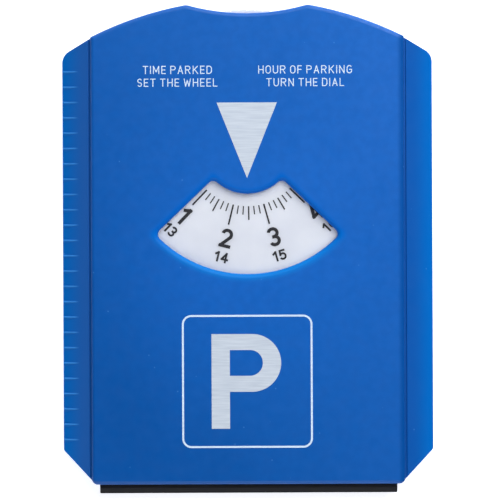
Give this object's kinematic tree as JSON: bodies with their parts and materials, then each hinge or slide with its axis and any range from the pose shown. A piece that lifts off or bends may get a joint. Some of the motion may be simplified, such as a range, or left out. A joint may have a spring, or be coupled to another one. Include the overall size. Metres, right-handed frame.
{
  "type": "parking disc",
  "caption": "Flat plastic parking disc with a thumb-turned hour dial behind a window, scraper edges down both sides and a rubber squeegee along the foot.",
  "frame": {"origin": "middle of the outline's width and length, on the plane of the back face", "axes": "+X across the disc to the right as its face is read, +Y up the face towards the thumb notch, +Z out of the face"},
  "size_m": [0.118, 0.1555, 0.0081],
  "materials": {
    "blue_cover": "satin injection-moulded polystyrene",
    "blue_body": "satin injection-moulded polystyrene",
    "white_dial": "smooth white moulded polystyrene",
    "black_rubber": "extruded rubber, matt",
    "silver_white_foil": "hot-stamped white foil",
    "dial_ink": "black screen-printed ink"
  },
  "bodies": {
    "casing": {"rear_body": "blue_body", "front_cover": "blue_cover", "squeegee_blade": "black_rubber", "arrival_arrow": "silver_white_foil", "sign_border": "silver_white_foil", "parking_letter": "silver_white_foil", "legend_left": "silver_white_foil", "legend_right": "silver_white_foil"},
    "dial": {"dial_disc": "white_dial", "dial_hour_marks": "dial_ink", "dial_half_hour_marks": "dial_ink", "dial_ten_minute_marks": "dial_ink", "dial_figures_1_to_12": "dial_ink", "dial_figures_13_to_24": "dial_ink"}
  },
  "joints": [
    {"name": "dial_spin", "type": "hinge", "parent": "casing", "child": "dial", "pos_m": [0, 0.0322, 0.005], "axis": [0, 0, 1], "continuous": true}
  ]
}
